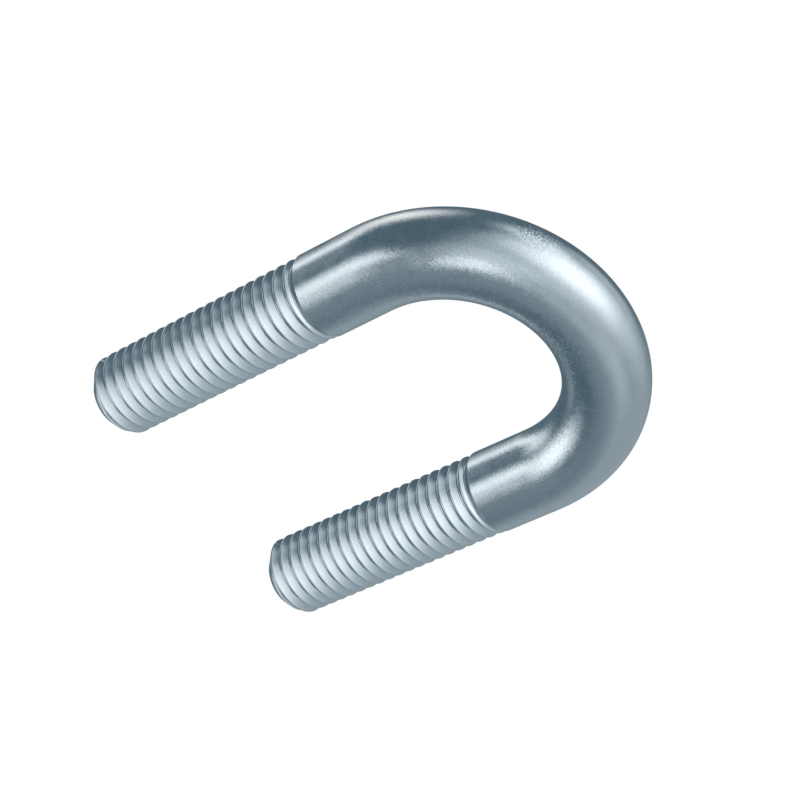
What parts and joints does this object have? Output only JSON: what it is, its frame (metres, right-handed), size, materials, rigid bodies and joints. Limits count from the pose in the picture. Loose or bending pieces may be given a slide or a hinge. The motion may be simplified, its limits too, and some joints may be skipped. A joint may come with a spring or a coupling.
{
  "type": "pipe u-bolt",
  "caption": "Steel U-bolt that holds a pipe in its half-round bend, with two parallel screw-threaded legs for nuts.",
  "frame": {"origin": "centre of the bend, on the axis of the pipe that the bolt holds, halfway through the rod", "axes": "+X from the bend's centre to its crown, so the threaded legs run towards -X and lie at y = +16.5 mm and y = -16.5 mm; +Z along the pipe's axis and up, as the bolt rests on its side"},
  "size_m": [0.06, 0.043, 0.01],
  "materials": {
    "plated_steel": "bright zinc plating with a fine grain, slightly blue"
  },
  "bodies": {
    "root": {"u_bolt": "plated_steel"}
  },
  "joints": []
}
